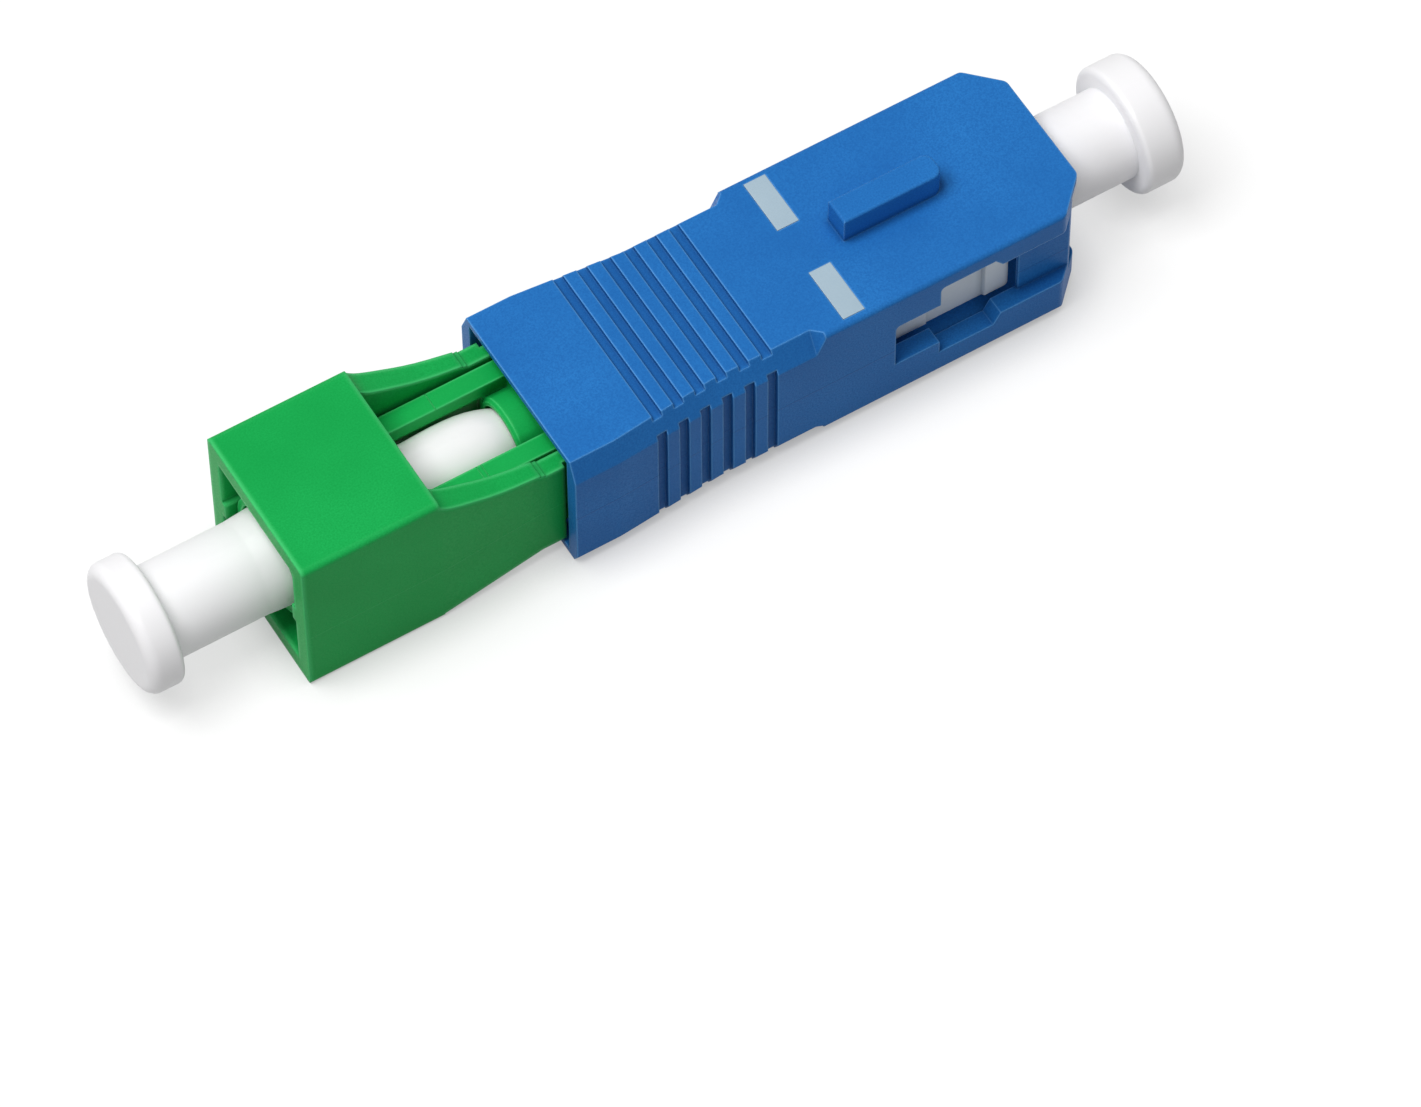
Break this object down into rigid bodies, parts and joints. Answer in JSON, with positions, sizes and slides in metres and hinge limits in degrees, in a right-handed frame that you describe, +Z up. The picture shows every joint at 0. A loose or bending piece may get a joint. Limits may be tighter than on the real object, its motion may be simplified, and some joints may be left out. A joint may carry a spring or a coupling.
{
  "type": "hybrid fibre adapter",
  "caption": "Hybrid fibre adapter with a sliding keyed plug at one end, a small square receptacle at the other, and a dust cap on each.",
  "frame": {"origin": "middle of the footprint, on the surface that the receptacle box stands on", "axes": "+X along the fibre axis towards the plug's tip, +Y to the plug's left seen from behind, +Z up, towards the key"},
  "size_m": [0.0522, 0.0096, 0.0089],
  "materials": {
    "green_plastic": "fine-grained green moulding",
    "green_insert": "smooth green moulding",
    "zirconia_sleeve": "polished zirconia",
    "white_barrel": "smooth white moulding",
    "white_frame": "smooth pale grey-white moulding",
    "blue_plastic": "fine-grained blue moulding",
    "pale_mark": "flat pale grey print",
    "flange_steel": "turned nickel-plated metal",
    "zirconia": "polished zirconia",
    "fibre_glass": "clear glass fibre",
    "retainer_plastic": "grey moulding",
    "spring_steel": "drawn spring wire",
    "white_cap": "soft white polyethylene"
  },
  "bodies": {
    "adapter": {"receptacle_body": "green_plastic", "sleeve_mount": "green_insert", "sleeve_holder_front": "white_barrel", "sleeve_holder_rear": "white_barrel", "split_sleeve": "zirconia_sleeve", "plug_frame": "white_frame", "spring_retainer": "retainer_plastic", "ferrule_spring": "spring_steel"},
    "grip": {"plug_shell": "blue_plastic", "index_mark_near": "pale_mark", "index_mark_far": "pale_mark"},
    "ferrules": {"ferrule_flange": "flange_steel", "plug_ferrule": "zirconia", "stub_ferrule": "zirconia", "glass_fibre": "fibre_glass"},
    "receptacle_cap": {"receptacle_dust_cap": "white_cap"},
    "plug_cap": {"plug_dust_cap": "white_cap"}
  },
  "joints": [
    {"name": "grip_slide", "type": "slide", "parent": "adapter", "child": "grip", "axis": [1, 0, 0], "range_m": [-0.0015, 0]},
    {"name": "ferrule_float", "type": "slide", "parent": "adapter", "child": "ferrules", "axis": [1, 0, 0], "range_m": [-0.001, 0], "stiffness_N_per_m": 1500, "springref_m": 0.004, "deforming": ["ferrule_spring"]},
    {"name": "receptacle_cap_pull", "type": "slide", "parent": "adapter", "child": "receptacle_cap", "axis": [-1, 0, 0], "range_m": [0, 0.008]},
    {"name": "plug_cap_pull", "type": "slide", "parent": "adapter", "child": "plug_cap", "axis": [1, 0, 0], "range_m": [0, 0.008]}
  ]
}
